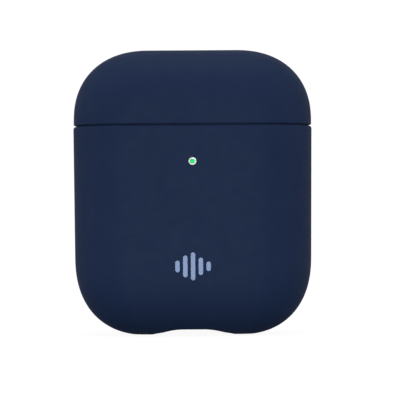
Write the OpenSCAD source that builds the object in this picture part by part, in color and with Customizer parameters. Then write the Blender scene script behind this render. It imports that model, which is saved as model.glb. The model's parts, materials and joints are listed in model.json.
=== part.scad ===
// Wireless earbuds charging case in a two-piece soft-touch cover.
// Millimetres. +Z is up, the front faces -Y, and the origin is the centre of the
// footprint on the surface the case stands on.

/* [Cover] */
// Width of the cover at the seam
cover_w = 47.5; // [47.3:0.1:48.2]
// Depth of the cover, front to back
cover_d = 24.5; // [24.4:0.1:25]
// Height of the closed cover
cover_h = 56.45; // [56.3:0.05:57]
// Height of the middle of the lid seam
seam_z = 41.4; // [41.3:0.05:41.5]
// Gap between lid cover and body cover
seam_gap = 0.2; // [0.2:0.05:0.35]
// Wall of the cover
cover_wall = 1.55; // [1.45:0.05:1.55]
// How far the lid cover stands inside the body cover
lid_step = 0.08; // [0:0.01:0.15]

/* [Openings] */
// Width of the socket cut-out under the cover
port_cut_w = 15.4; // [14:0.1:17.5]
// Depth of the socket cut-out, front to back
port_cut_d = 11.9; // [11.4:0.1:12.6]
// Corner radius of the socket cut-out
port_cut_r = 5.7; // [4:0.1:5.7]
// Diameter of the window for the status light
led_hole_d = 1.58; // [1.2:0.02:2.4]
// Height of the status light
led_z = 34.2; // [33.8:0.1:34.8]
// Diameter of the hole in the cover around the setup button
button_hole_d = 8.6; // [8:0.1:9.4]
// Height of the setup button
button_z = 21; // [20.5:0.1:21.5]

/* [Wells] */
// Bore of each stem well
stem_d = 6.3; // [6:0.05:6.4]
// Distance of each stem well from the middle
stem_x = 16.2; // [16.1:0.05:16.2]
// Radius of each head cup
cup_r = 7.6; // [7.2:0.1:7.6]

/* [Hinge] */
// Diameter of the hinge pin
pin_d = 1.2; // [0.8:0.1:1.4]
// Radius of the hinge barrel
barrel_r = 1.7; // [1.5:0.05:1.75]

/* [Detail] */
// Points in each quarter of an outline
quarter_n = 11; // [7:1:13]

/* [Hidden] */

$fn = 48;

// ---- the one outline family every shell is cut from ----
// A shell surface is the outer form moved inwards by an inset t, so each layer nests in the next.
A = cover_w / 2;             // half width at the seam
B = cover_d / 2;             // half depth
top_z = cover_h + lid_step + 0.02; // height the outer form would reach with no lid step
bot_z = -0.25;               // the form's own lowest level; the foot is cut flat at 0
draft = 0.0079;              // how fast the body narrows towards the foot
edge_r = 13.2;               // reach of the soft edge between face and rim
edge_n = 2.25;               // exponent of the soft edge
top_rx = 15.2; top_rz = 14.2; top_n = 2.26;   // upper corners of the outline
bot_rx = 14.6; bot_rz = 15.6; bot_n = 2.33;   // lower corners of the outline
zct = top_z - top_rz;
zcb = bot_z + bot_rz;

function half_a(z) = z < seam_z ? A - draft * (seam_z - z) : A;
// half width of the outline moved in by T, at height z
function half_w(T, z) =
    z > zct ? A - top_rx + (top_rx - T) * pow(max(0, 1 - pow((z - zct) / (top_rz - T), top_n)), 1 / top_n)
    : z < zcb ? half_a(z) - bot_rx + (bot_rx - T) * pow(max(0, 1 - pow((zcb - z) / (bot_rz - T), bot_n)), 1 / bot_n)
    : half_a(z) - T;

function reach(t, z) = min(edge_r, top_z - z, z - bot_z) - t;
function last_angle(t, z) = acos(max(0, pow(1 - reach(t, z) / (edge_r - t), edge_n / 2)));
// one point of the ring, angle a from the side (0) towards the face
function ring_point(t, z, a) =
    let (d = (edge_r - t) * (1 - pow(cos(a), 2 / edge_n)))
    [half_w(t + d, z), (B - t) * pow(sin(a), 2 / edge_n)];
function quarter(t, z) = let (a = last_angle(t, z)) [for (i = [0:quarter_n]) ring_point(t, z, a * i / quarter_n)];
// the whole ring, anticlockwise from above
function ring(t, z) = let (q = quarter(t, z), n = quarter_n) concat(
    [for (i = [0:n]) [q[i][0], q[i][1]]],
    [for (i = [n:-1:0]) [-q[i][0], q[i][1]]],
    [for (i = [1:n]) [-q[i][0], -q[i][1]]],
    [for (i = [n:-1:1]) [q[i][0], -q[i][1]]]);
ring_n = 4 * quarter_n + 2;

// levels at which the surface of inset t is sampled, from the crown or the foot to the straight wall
function crown(t, steps = 12) = [for (k = [0:steps])
    let (a = 3 + 87 * k / steps) top_z - t - (edge_r - t) * (1 - pow(cos(a), 2 / edge_n))];
function foot(t, steps = 12) = [for (k = [0:steps])
    let (a = 3 + 87 * k / steps) bot_z + t + (edge_r - t) * (1 - pow(cos(a), 2 / edge_n))];

function flip(f, v) = v ? [for (i = [len(f) - 1:-1:0]) f[i]] : f;

// a closed solid skinned through rings given as [inset, height]; up = true when the
// first ring lies at the foot and the skin runs outside first
module skin(list, up) {
    pts = [for (p = list) for (q = ring(p[0], p[1])) [q[0], q[1], p[1]]];
    n = ring_n;
    m = len(list);
    faces = concat(
        [flip([for (i = [0:n - 1]) i], !up)],
        [for (k = [0:m - 2]) for (i = [0:n - 1])
            let (a = k * n + i, b = k * n + (i + 1) % n, c = a + n, d = b + n)
            flip([a, c, b], !up)],
        [for (k = [0:m - 2]) for (i = [0:n - 1])
            let (a = k * n + i, b = k * n + (i + 1) % n, c = a + n, d = b + n)
            flip([b, c, d], !up)],
        [flip([for (i = [n - 1:-1:0]) (m - 1) * n + i], !up)]);
    polyhedron(points = pts, faces = faces, convexity = 10);
}

// a closed band skinned through a loop of rings
module band(list) {
    pts = [for (p = list) for (q = ring(p[0], p[1])) [q[0], q[1], p[1]]];
    n = ring_n;
    m = len(list);
    faces = concat(
        [for (k = [0:m - 1]) for (i = [0:n - 1])
            let (a = k * n + i, b = k * n + (i + 1) % n, c = ((k + 1) % m) * n + i)
            [a, c, b]],
        [for (k = [0:m - 1]) for (i = [0:n - 1])
            let (b = k * n + (i + 1) % n, c = ((k + 1) % m) * n + i, d = ((k + 1) % m) * n + (i + 1) % n)
            [b, c, d]]);
    polyhedron(points = pts, faces = faces, convexity = 10);
}

// ---- shared sizes ----
case_out = 1.63;             // inset of the white case's outer face
case_in = 2.80;              // inset of its inner face
insert_t = 2.86;             // inset of the mouldings that drop into it
body_top = seam_z - seam_gap / 2;
lid_low = seam_z + seam_gap / 2;
hy = 9.4;                    // hinge axis
hz = seam_z;
channel_r = 2.05;            // room swept round the hinge barrel
channel_x = 17.5;
relief_x = 20.2;             // half width of the cover's relief round the hinge
deck_top = seam_z - 0.3;
deck_t = 1.2;
liner_low = seam_z + 0.1;

// a box from one corner to the other
module span(a, b) { translate(a) cube([b[0] - a[0], b[1] - a[1], b[2] - a[2]]); }
// rods along each axis, from u to v
module rod_x(r, u, v, y, z) { translate([u, y, z]) rotate([0, 90, 0]) cylinder(r = r, h = v - u); }
module rod_y(r, u, v, x, z) { translate([x, u, z]) rotate([-90, 0, 0]) cylinder(r = r, h = v - u); }
module rod_z(r, u, v, x, y) { translate([x, y, u]) cylinder(r = r, h = v - u); }
// the two mirror images of a shape, left and right
module both() { children(); mirror([1, 0, 0]) children(); }

// a prism along z with rounded corners
module slot_z(w, d, r, u, v) {
    union() {
        span([-w / 2 + r, -d / 2, u], [w / 2 - r, d / 2, v]);
        if (d / 2 - r > 0.001) span([-w / 2, -d / 2 + r, u], [w / 2, d / 2 - r, v]);
        for (x = [-1, 1]) for (y = (d / 2 - r > 0.001 ? [-1, 1] : [0]))
            rod_z(r, u, v, x * (w / 2 - r), y * (d / 2 - r));
    }
}

// ---- cover ----
module hinge_relief(low, high, r) {
    // low is below the axis for the body cover, high above it for the lid cover
    union() {
        span([-relief_x + r, 5, low], [relief_x - r, 14, high]);
        if (low < hz - 1) {
            span([-relief_x, 5, low + r], [relief_x, 14, high]);
            for (s = [-1, 1]) rod_y(r, 5, 14, s * (relief_x - r), low + r);
        } else {
            span([-relief_x, 5, low], [relief_x, 14, high - r]);
            for (s = [-1, 1]) rod_y(r, 5, 14, s * (relief_x - r), high - r);
        }
    }
}

body_edge_r = 0.6;
lid_edge_r = 0.2;
module cover_body() {
    w = cover_wall;
    out_foot = foot(0);
    in_foot = foot(w);
    color([0.012, 0.022, 0.062])
    difference() {
        skin(concat(
            [[0, 0]],
            [for (z = out_foot) if (z > 0.06) [0, z]],
            [[0, zcb], [0, 28], [0, body_top - body_edge_r]],
            [for (a = [30, 60]) [body_edge_r * (1 - cos(a)), body_top - body_edge_r * (1 - sin(a))]],
            [[body_edge_r, body_top], [1.10, body_top], [1.10, body_top + 0.85], [1.18, body_top + 1.05], [w, body_top + 1.05]],
            [[w, 28], [w, zcb]],
            [for (i = [len(in_foot) - 1:-1:0]) [w, in_foot[i]]]), true);
        // the inner lip stops at the sides, so that the lid can swing
        span([-30, 2, body_top], [30, 14, body_top + 2]);
        // room for the hinge
        hinge_relief(hz - 3.7, hz + 3, 1.5);
        // socket cut-out
        slot_z(port_cut_w, port_cut_d, port_cut_r, -1, 6);
        // window for the status light
        rod_y(led_hole_d / 2, -14, -9, 0, led_z);
        // setup button
        rod_y(button_hole_d / 2, 9, 14, 0, button_z);
    }
}

groove = [45.9, 46.7, 47.5, 48.3, 49.1];   // levels of the recess for the adhesive band
module cover_lid() {
    w = cover_wall;
    s = lid_step;
    out_crown = crown(s);
    in_crown = crown(w);
    color([0.014, 0.025, 0.068])
    difference() {
        skin(concat(
            [for (z = out_crown) [s, z]],
            [[s, zct], [s, lid_low + lid_edge_r]],
            [for (a = [30, 60]) [s + lid_edge_r * (1 - cos(a)), lid_low + lid_edge_r * (1 - sin(a))]],
            [[s + lid_edge_r, lid_low], [1.05, lid_low], [1.05, lid_low + 1.0], [w, lid_low + 1.0], [w, 44.2], [w, 45.9]],
            [for (z = groove) [1.30, z]], [[w, 49.1]],
            [for (i = [len(in_crown) - 1:-1:0]) if (in_crown[i] > 49.3) [w, in_crown[i]]]), false);
        hinge_relief(hz - 3, hz + 2.4, 1.2);
    }
}

module cover_lid_tape() {
    levels = [46, 46.75, 47.5, 48.25, 49];
    color([0.75, 0.73, 0.68])
    band(concat([for (z = levels) [1.32, z]], [for (k = [4:-1:0]) [cover_wall - 0.01, levels[k]]]));
}

// ---- white case ----
frame_x = 10.2; frame_y = 3.4;   // bosses under the inner frame
module hinge_channel() { rod_x(channel_r, -channel_x, channel_x, hy, hz); }

module case_body_shell() {
    o = case_out; i = case_in;
    out_foot = foot(o);
    in_foot = foot(i, 8);
    rim = seam_z - 0.05;
    color([0.86, 0.86, 0.85])
    difference() {
        union() {
            difference() {
                skin(concat(
                    [for (z = out_foot) [o, z]],
                    [[o, zcb], [o, rim - 0.35], [o + 0.1, rim - 0.1], [o + 0.35, rim], [i, rim], [i, zcb]],
                    [for (k = [len(in_foot) - 1:-1:0]) [i, in_foot[k]]]), true);
                hinge_channel();
            }
            // fixed shoulders that close the barrel line beyond the metal hinge
            both() {
                rod_x(barrel_r, 12.2, 17.2, hy, hz);
                span([12.2, hy - 0.55, hz - 3], [17.2, hy + 0.55, hz]);
            }
            // bosses for the socket bracket and the inner frame
            both() {
                rod_z(1.5, 2.3, 4.15, 6.6, 0);
                rod_z(1.5, 2.65, 8.05, frame_x, frame_y);
            }
        }
        // charging socket and its seal
        slot_z(9.06, 3.38, 1.69, 0, 4);
        slot_z(10.4, 4.7, 2.35, 1.95, 2.9);
        both() {
            rod_z(0.58, 2.6, 5, 6.6, 0);
            rod_z(0.62, 5.2, 9, frame_x, frame_y);
        }
        // light pipe
        rod_y(0.485, -12, -8, 0, led_z);
        // setup button
        rod_y(3.55, 8, 12, 0, button_z);
        // screws of the hinge leaf
        both() rod_y(0.62, 9, 10.35, 9, hz - 4.8);
    }
}

module case_lid_shell() {
    o = case_out; i = case_in;
    out_crown = crown(o);
    in_crown = crown(i, 8);
    rim = seam_z + 0.05;
    color([0.86, 0.86, 0.85])
    difference() {
        skin(concat(
            [for (z = out_crown) [o, z]],
            [[o, rim + 0.35], [o + 0.1, rim + 0.1], [o + 0.35, rim], [i, rim]],
            [for (k = [len(in_crown) - 1:-1:0]) [i, in_crown[k]]]), false);
        hinge_channel();
        both() rod_y(0.62, 9, 10.2, 7.5, hz + 3.2);
    }
}

stem_r = stem_d / 2;
cup_c = [9, -0.9, seam_z + 1.1];
cup_wall = 0.7;
well_floor = 13.6;           // bottom of the well
well_seat = 14.8;            // where its full bore begins

module deck_plate(low, high) {
    translate([0, 0, low]) linear_extrude(height = high - low)
        polygon(ring(insert_t, seam_z));
}

module well_insert() {
    color([0.84, 0.84, 0.83])
    difference() {
        union() {
            deck_plate(deck_top - deck_t, deck_top);
            intersection() {
                both() union() {
                    translate(cup_c) sphere(r = cup_r + cup_wall);
                    rod_z(stem_r + 0.9, well_floor - 1, deck_top, stem_x, 0);
                    span([9, -3.6, 37.2], [stem_x, 3.2, deck_top]);
                    rod_x(3.4, 9, stem_x, -0.2, 37.2);
                }
                span([-21, -9.3, 10], [21, 9.3, deck_top]);
            }
        }
        both() union() {
            translate(cup_c) sphere(r = cup_r);
            rod_z(stem_r, well_seat, deck_top + 5, stem_x, 0);
            // narrower foot of the well, where the contacts stand
            rod_z(stem_r - 0.5, well_floor, well_seat + 0.1, stem_x, 0);
            span([9, -2.9, 37.2], [stem_x, 2.5, deck_top + 5]);
            rod_x(2.7, 9, stem_x, -0.2, 37.2);
            for (s = [-1, 1]) rod_z(0.55, 12, 14, stem_x + 1.3 * s, 0);
        }
        hinge_channel();
        // room for the hinge leaf
        span([-12.4, 8.3, deck_top - 3], [12.4, 10, deck_top + 1]);
    }
}

module lid_liner() {
    top = 45.2;
    color([0.84, 0.84, 0.83])
    difference() {
        union() {
            deck_plate(liner_low, liner_low + deck_t);
            intersection() {
                both() union() {
                    translate(cup_c) sphere(r = cup_r + cup_wall);
                    rod_z(stem_r + 1.05, liner_low, top + 0.6, stem_x, 0);
                    span([9, -3.6, liner_low], [stem_x, 3.2, top + 0.6]);
                }
                span([-21, -9.3, liner_low], [21, 9.3, 52]);
            }
        }
        both() union() {
            translate(cup_c) sphere(r = cup_r);
            rod_z(stem_r + 0.45, liner_low - 5, top, stem_x, 0);
            span([9, -2.9, liner_low - 5], [stem_x, 2.5, top]);
        }
        hinge_channel();
        span([-12.4, 8.3, liner_low - 1], [12.4, 10, liner_low + 3]);
    }
}

// ---- hinge ----
pin_r = pin_d / 2;
module hinge_body_leaf() {
    color([0.62, 0.62, 0.63])
    difference() {
        union() {
            both() {
                rod_x(barrel_r, 6, 12, hy, hz);
                span([6, 8.5, hz - 2.4], [12, 9.3, hz]);
            }
            span([-12, 8.5, hz - 6.2], [12, 9.3, hz - 1.9]);
        }
        rod_x(pin_r + 0.02, -20, 20, hy, hz);
        both() rod_y(0.65, 8, 10, 9, hz - 4.8);
    }
}

module hinge_lid_leaf() {
    color([0.62, 0.62, 0.63])
    difference() {
        union() {
            rod_x(barrel_r, -5.9, 5.9, hy, hz);
            span([-5.6, 8.4, hz], [5.6, 9.15, hz + 2.4]);
            span([-9.5, 8.4, hz + 1.9], [9.5, 9.15, hz + 4.4]);
        }
        rod_x(pin_r + 0.02, -20, 20, hy, hz);
        both() rod_y(0.65, 8, 10, 7.5, hz + 3.2);
    }
}

module hinge_pin() { color([0.7, 0.7, 0.71]) rod_x(pin_r, -11.8, 11.8, hy, hz); }

module hinge_snap_spring() {
    color([0.55, 0.55, 0.57])
    difference() {
        union() {
            span([-10.6, 8.2, hz - 6], [10.6, 8.45, hz - 3.6]);
            span([-4.6, 8.2, hz - 3.6], [4.6, 8.45, hz - 1.8]);
        }
        both() rod_y(0.65, 8, 9, 9, hz - 4.8);
    }
}

// a small pan-head screw pointing along +y with a cross recess
module screw_y(x, z, y, length, r, head_r, head_h) {
    difference() {
        union() {
            rod_y(head_r, y - head_h, y, x, z);
            rod_y(r, y - 0.01, y + length, x, z);
        }
        span([x - head_r * 0.6, y - head_h - 0.1, z - 0.12], [x + head_r * 0.6, y - head_h * 0.5, z + 0.12]);
        span([x - 0.12, y - head_h - 0.1, z - head_r * 0.6], [x + 0.12, y - head_h * 0.5, z + head_r * 0.6]);
    }
}
// the same screw pointing down
module screw_z(x, y, z, length, r, head_r, head_h) {
    difference() {
        union() {
            rod_z(head_r, z, z + head_h, x, y);
            rod_z(r, z - length, z + 0.01, x, y);
        }
        span([x - head_r * 0.6, y - 0.12, z + head_h * 0.5], [x + head_r * 0.6, y + 0.12, z + head_h + 0.1]);
        span([x - 0.12, y - head_r * 0.6, z + head_h * 0.5], [x + 0.12, y + head_r * 0.6, z + head_h + 0.1]);
    }
}

module hinge_body_screws() {
    color([0.5, 0.5, 0.52]) for (s = [-1, 1]) screw_y(9 * s, hz - 4.8, 8.18, 2.0, 0.58, 1.05, 0.55);
}
module hinge_lid_screws() {
    color([0.5, 0.5, 0.52]) for (s = [-1, 1]) screw_y(7.5 * s, hz + 3.2, 8.38, 1.7, 0.58, 0.95, 0.55);
}

// ---- magnets and lid sensing ----
module lid_magnets() {
    color([0.6, 0.6, 0.62]) both() span([1.1, -9.1, liner_low + deck_t + 0.05], [3.9, -7.7, liner_low + deck_t + 2.3]);
}
module body_magnets() {
    color([0.6, 0.6, 0.62]) both() span([1.1, -9.1, deck_top - deck_t - 2.3], [3.9, -7.7, deck_top - deck_t - 0.05]);
}
module lid_sensor_magnet() {
    color([0.6, 0.6, 0.62]) rod_z(0.8, liner_low + deck_t + 0.05, liner_low + deck_t + 1.6, 0, -6.3);
}
module sensor_flex() {
    color([0.55, 0.32, 0.08]) union() {
        span([-1.0, -7.1, deck_top - deck_t - 0.2], [1.0, -5.4, deck_top - deck_t - 0.05]);
        span([-0.8, -5.55, led_z + 2.4], [0.8, -5.4, deck_top - deck_t - 0.1]);
    }
}
module hall_sensor() {
    color([0.05, 0.05, 0.05]) span([-0.75, -6.95, deck_top - deck_t - 0.8], [0.75, -5.75, deck_top - deck_t - 0.22]);
}
module earbud_magnets() {
    color([0.6, 0.6, 0.62]) both() rod_z(2.0, 31.75, 33.55, 9, -0.9);
}

// ---- power ----
module battery_cell() {
    // a wrapped pouch cell with rounded long edges
    r = 1.4;
    color([0.16, 0.17, 0.19])
    union() {
        span([-11 + r, -2.8, 9.5], [11 - r, 5.6, 31.0]);
        span([-11, -2.8 + r, 9.5], [11, 5.6 - r, 31.0]);
        for (x = [-11 + r, 11 - r]) for (y = [-2.8 + r, 5.6 - r]) rod_z(r, 9.5, 31.0, x, y);
        span([-7, 0.2, 31.0], [7, 2.6, 31.6]);
    }
}
module battery_tape() { color([0.9, 0.9, 0.86]) span([-9, 5.66, 12], [9, 5.94, 29]); }
module battery_lead() {
    color([0.55, 0.32, 0.08]) union() {
        span([3.2, -5.1, 31.75], [5.6, 2.4, 31.9]);
        span([3.2, -5.1, 29.9], [5.6, -4.95, 31.9]);
    }
}
module inner_frame() {
    color([0.1, 0.1, 0.11])
    difference() {
        union() {
            span([-12, 6.0, 8.1], [12, 7.4, 32.2]);
            both() {
                span([11.15, -5.0, 8.1], [12, 6.1, 32.2]);
                span([8.9, -5.05, 8.1], [11.3, -3.2, 12]);
                span([8.9, -5.05, 29.9], [11.3, -3.2, 32.2]);
            }
            span([-12, -5.0, 8.1], [12, 6.1, 9.3]);
        }
        // screws that hold it down
        both() {
            rod_z(0.66, 7, 10, frame_x, frame_y);
            rod_z(1.2, 8.7, 9.4, frame_x, frame_y);
            rod_y(0.5, -6, -3, 10, 10.4);
            rod_y(0.5, -6, -3, 10, 31.1);
        }
        // windows that save weight behind the cell
        span([-7, 5.5, 13], [7, 8, 17.5]);
        span([-7, 5.5, 24.5], [7, 8, 29]);
    }
}
module frame_screws() {
    color([0.5, 0.5, 0.52]) for (s = [-1, 1]) screw_z(frame_x * s, frame_y, 8.72, 2.9, 0.6, 1.15, 0.55);
}
module board_foam() { color([0.2, 0.2, 0.2]) span([-8.3, -4.0, 13.5], [8.3, -2.86, 28.5]); }

// ---- electronics ----
board_y = -6.0;
module main_board() {
    color([0.02, 0.16, 0.07])
    difference() {
        union() {
            span([-11.1, board_y, 7.7], [11.1, board_y + 0.8, 33.4]);
            span([-2.2, board_y, 33.3], [2.2, board_y + 0.8, led_z + 2.2]);
        }
        both() {
            rod_y(0.5, -8, -4, 10, 10.4);
            rod_y(0.5, -8, -4, 10, 31.1);
        }
        // half-round notch for the socket's flex
        rod_y(1.5, -8, -4, 0, 7.7);
    }
}
module board_chips() {
    y = board_y + 0.82;
    color([0.04, 0.04, 0.045]) union() {
        span([-7.5, y, 16], [-2.5, y + 0.9, 21]);
        span([1.0, y, 15], [6.0, y + 0.75, 18.2]);
        span([1.5, y, 20.5], [4.6, y + 0.9, 24]);
        span([-6.5, y, 23.5], [-3.1, y + 0.6, 26.5]);
        for (i = [0:4]) span([-7 + 1.6 * i, y, 28.6], [-6.2 + 1.6 * i, y + 0.5, 29.0]);
        for (i = [0:5]) span([7.2, y, 14 + 2 * i], [7.7, y + 0.5, 15 + 2 * i]);
    }
}
module board_shield() {
    y = board_y - 0.02;
    color([0.66, 0.66, 0.66])
    difference() {
        span([-7.5, y - 1.35, 13.5], [7.5, y, 26.5]);
        span([-7.3, y - 1.15, 13.7], [7.3, y + 1, 26.3]);
    }
}
module board_screws() {
    color([0.5, 0.5, 0.52]) for (s = [-1, 1]) for (z = [10.4, 31.1])
        screw_y(10 * s, z, board_y - 0.02, 2.7, 0.46, 0.85, 0.45);
}
module status_led() {
    color([0.05, 0.75, 0.25]) union() {
        span([-0.8, board_y - 0.2, led_z - 0.5], [0.8, board_y - 0.02, led_z + 0.5]);
        span([-0.5, board_y - 0.5, led_z - 0.4], [0.5, board_y - 0.2, led_z + 0.4]);
    }
}
module led_light_pipe() {
    color([0.05, 0.8, 0.3]) union() {
        rod_y(0.465, -(B - case_out) + 0.02, -9.2, 0, led_z);
        rod_y(0.9, -9.3, -6.6, 0, led_z);
    }
}

// ---- charging socket ----
module charge_port_shell() {
    color([0.6, 0.6, 0.62])
    difference() {
        slot_z(8.94, 3.26, 1.63, 1.55, 7.3);
        slot_z(8.34, 2.66, 1.33, 1.0, 7.0);
    }
}
module charge_port_tongue() {
    color([0.05, 0.05, 0.05]) union() {
        slot_z(8.26, 2.58, 1.29, 6.1, 6.95);
        span([-3.35, -0.35, 2.6], [3.35, 0.35, 6.2]);
    }
}
module port_bracket() {
    color([0.58, 0.58, 0.6])
    difference() {
        slot_z(17, 6.6, 2.2, 4.2, 4.8);
        slot_z(9.06, 3.38, 1.69, 3, 6);
        both() rod_z(0.66, 3, 6, 6.6, 0);
    }
}
module port_screws() {
    color([0.5, 0.5, 0.52]) for (s = [-1, 1]) screw_z(6.6 * s, 0, 4.82, 2.0, 0.55, 1.05, 0.55);
}
module port_gasket() {
    color([0.12, 0.12, 0.12])
    difference() {
        slot_z(10.3, 4.6, 2.3, 2.0, 2.85);
        slot_z(9.0, 3.32, 1.66, 1, 4);
    }
}
module port_flex() {
    color([0.55, 0.32, 0.08]) span([-3.5, -5.1, 7.35], [3.5, 1.5, 7.5]);
}

// ---- earbud contacts ----
module contact_pair() {
    color([0.83, 0.62, 0.22]) for (s = [-1, 1]) union() {
        rod_z(0.5, 12.0, 14.2, stem_x + 1.3 * s, 0);
        translate([stem_x + 1.3 * s, 0, 14.2]) sphere(r = 0.5, $fn = 64);
        rod_z(0.75, 12.0, 12.35, stem_x + 1.3 * s, 0);
    }
}
module right_contacts() { contact_pair(); }
module left_contacts() { mirror([1, 0, 0]) contact_pair(); }
module contact_flex() {
    color([0.55, 0.32, 0.08]) both() union() {
        span([13.2, -2, 11.3], [18.4, 2, 11.45]);
        span([13.2, -6.0, 11.3], [15.0, -2, 11.45]);
        span([11.25, -6.0, 11.3], [15.0, -5.15, 11.45]);
    }
}

// ---- setup button ----
module setup_button() {
    color([0.86, 0.86, 0.85]) union() {
        rod_y(3.5, 9.2, B - case_out - 0.05, 0, button_z);
        rod_y(4.0, 8.95, 9.35, 0, button_z);
    }
}
module button_dome_switch() {
    color([0.66, 0.62, 0.5]) union() {
        rod_y(2.2, 7.94, 8.25, 0, button_z);
        rod_y(1.3, 8.2, 8.6, 0, button_z);
    }
}
module button_flex() {
    color([0.55, 0.32, 0.08]) union() {
        rod_y(2.6, 7.72, 7.88, 0, button_z);
        span([-1.2, 7.72, button_z], [1.2, 7.88, 33.4]);
        span([-1.2, -5.1, 33.25], [1.2, 7.88, 33.4]);
    }
}

// ---- wireless charging ----
module charging_coil() {
    // turns of a flat coil, joined by their backing film
    color([0.62, 0.3, 0.12])
    translate([0, 9.15, button_z]) rotate([90, 0, 0])
    rotate_extrude($fn = 72)
    polygon(concat([[4.85, 0.7], [4.85, 0]],
        [for (i = [0:8]) for (p = [[4.9 + 0.55 * i, 0], [4.9 + 0.55 * i, 0.35], [5.0 + 0.55 * i, 0.35], [5.0 + 0.55 * i, 0]]) if (i > 0) p],
        [[9.8, 0], [9.8, 0.7]]));
}
module ferrite_sheet() {
    color([0.12, 0.12, 0.13])
    difference() {
        rod_y(10.2, 8.05, 8.35, 0, button_z);
        rod_y(4.6, 7, 9, 0, button_z);
    }
}
module coil_flex() {
    color([0.55, 0.32, 0.08]) union() {
        span([5.2, 7.7, 7.6], [7.2, 7.85, 14]);
        span([5.2, -5.1, 7.6], [7.2, 7.85, 7.75]);
    }
}

cover_body();
cover_lid();
cover_lid_tape();
case_body_shell();
case_lid_shell();
well_insert();
lid_liner();
hinge_body_leaf();
hinge_lid_leaf();
hinge_pin();
hinge_snap_spring();
hinge_body_screws();
hinge_lid_screws();
lid_magnets();
body_magnets();
lid_sensor_magnet();
hall_sensor();
sensor_flex();
earbud_magnets();
battery_cell();
battery_tape();
battery_lead();
inner_frame();
frame_screws();
board_foam();
main_board();
board_chips();
board_shield();
board_screws();
status_led();
led_light_pipe();
charge_port_shell();
charge_port_tongue();
port_bracket();
port_screws();
port_gasket();
port_flex();
left_contacts();
right_contacts();
contact_flex();
setup_button();
button_dome_switch();
button_flex();
charging_coil();
ferrite_sheet();
coil_flex();
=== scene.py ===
import json
import math

import bmesh
import bpy
import numpy as np
from mathutils import Matrix, Vector

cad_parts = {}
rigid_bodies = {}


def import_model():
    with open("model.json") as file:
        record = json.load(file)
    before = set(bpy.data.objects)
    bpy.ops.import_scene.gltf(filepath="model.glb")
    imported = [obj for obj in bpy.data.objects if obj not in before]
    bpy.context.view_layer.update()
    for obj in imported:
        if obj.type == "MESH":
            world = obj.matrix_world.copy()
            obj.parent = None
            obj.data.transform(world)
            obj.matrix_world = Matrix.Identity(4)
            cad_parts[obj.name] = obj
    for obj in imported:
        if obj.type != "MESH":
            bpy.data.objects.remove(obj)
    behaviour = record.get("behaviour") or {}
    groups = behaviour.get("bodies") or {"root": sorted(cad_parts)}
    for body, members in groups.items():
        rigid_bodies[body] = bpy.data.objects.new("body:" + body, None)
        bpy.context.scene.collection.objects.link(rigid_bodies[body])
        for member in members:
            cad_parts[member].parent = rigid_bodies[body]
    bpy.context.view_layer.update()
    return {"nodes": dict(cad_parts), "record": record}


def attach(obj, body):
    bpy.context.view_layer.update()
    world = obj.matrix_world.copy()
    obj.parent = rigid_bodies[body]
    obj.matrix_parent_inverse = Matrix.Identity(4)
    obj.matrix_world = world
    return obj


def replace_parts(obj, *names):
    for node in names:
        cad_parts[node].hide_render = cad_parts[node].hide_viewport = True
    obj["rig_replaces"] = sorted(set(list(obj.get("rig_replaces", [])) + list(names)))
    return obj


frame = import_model()


MM = 0.001

# --------------------------------------------------------------------------
# The outline family of the design: every shell surface is the outer form moved
# inwards by an inset t. Millimetres here; meshes are written in metres.
# --------------------------------------------------------------------------
A, B = 23.75, 12.25
SEAM, GAP, STEP = 41.4, 0.2, 0.08
TOP, BOT = 56.45 + 0.08 + 0.02, -0.25
DRAFT = 0.0079
RE, ME = 13.2, 2.25
TRX, TRZ, TN = 15.2, 14.2, 2.26
BRX, BRZ, BN = 14.6, 15.6, 2.33
ZCT, ZCB = TOP - TRZ, BOT + BRZ
HY, HZ = 9.4, SEAM
BODY_TOP, LID_LOW = SEAM - GAP / 2, SEAM + GAP / 2
BODY_EDGE, LID_EDGE = 0.6, 0.2
LED_Z, BUTTON_Z = 34.2, 21.0


def half_a(z):
    return A - DRAFT * (SEAM - z) if z < SEAM else A


def half_w(T, z):
    T = np.asarray(T, float)
    if z > ZCT:
        s = np.clip(1 - ((z - ZCT) / np.maximum(TRZ - T, 1e-9)) ** TN, 0, 1)
        return A - TRX + (TRX - T) * s ** (1 / TN)
    if z < ZCB:
        s = np.clip(1 - ((ZCB - z) / np.maximum(BRZ - T, 1e-9)) ** BN, 0, 1)
        return half_a(z) - BRX + (BRX - T) * s ** (1 / BN)
    return half_a(z) - T


def ring(t, z, nt, nf):
    reach = min(RE, TOP - z, z - BOT) - t
    amax = math.acos(min(1.0, max(0.0, 1 - reach / (RE - t))) ** (ME / 2))
    a = np.linspace(0, amax, nt + 1)
    d = (RE - t) * (1 - np.cos(a) ** (2 / ME))
    y = (B - t) * np.sin(a) ** (2 / ME)
    x = half_w(t + d, z)
    xf = np.linspace(x[-1], 0, nf + 1)[1:]
    q = np.array(list(zip(x, y)) + [(v, y[-1]) for v in xf])
    q2 = q[-2::-1] * (-1, 1)
    q3 = q[1:] * (-1, -1)
    q4 = q[-2:0:-1] * (1, -1)
    return np.vstack([q, q2, q3, q4])


def levels(t, k, top=True, start=0.8):
    a = np.radians(np.linspace(start, 90, k))
    d = (RE - t) * (1 - np.cos(a) ** (2 / ME))
    return list(TOP - t - d) if top else list(BOT + t + d)


def surf_y(x, z, t=0.0):
    """depth of the surface of inset t at (x, z), on the +y side"""
    x = abs(x)
    reach = min(RE, TOP - z, z - BOT) - t
    if reach <= 0:
        return 0.0
    lo, hi = 0.0, reach
    if x <= float(half_w(t + hi, z)):
        d = hi
    else:
        for _ in range(50):
            mid = (lo + hi) / 2
            if float(half_w(t + mid, z)) > x:
                lo = mid
            else:
                hi = mid
        d = (lo + hi) / 2
    return (B - t) * max(0.0, 1 - max(0.0, 1 - d / (RE - t)) ** ME) ** (1 / ME)


def foot_z(y, t=0.0):
    """height of the underside on its straight middle run"""
    return BOT + t + (RE - t) * (1 - (1 - (abs(y) / (B - t)) ** ME) ** (1 / ME))


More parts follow.
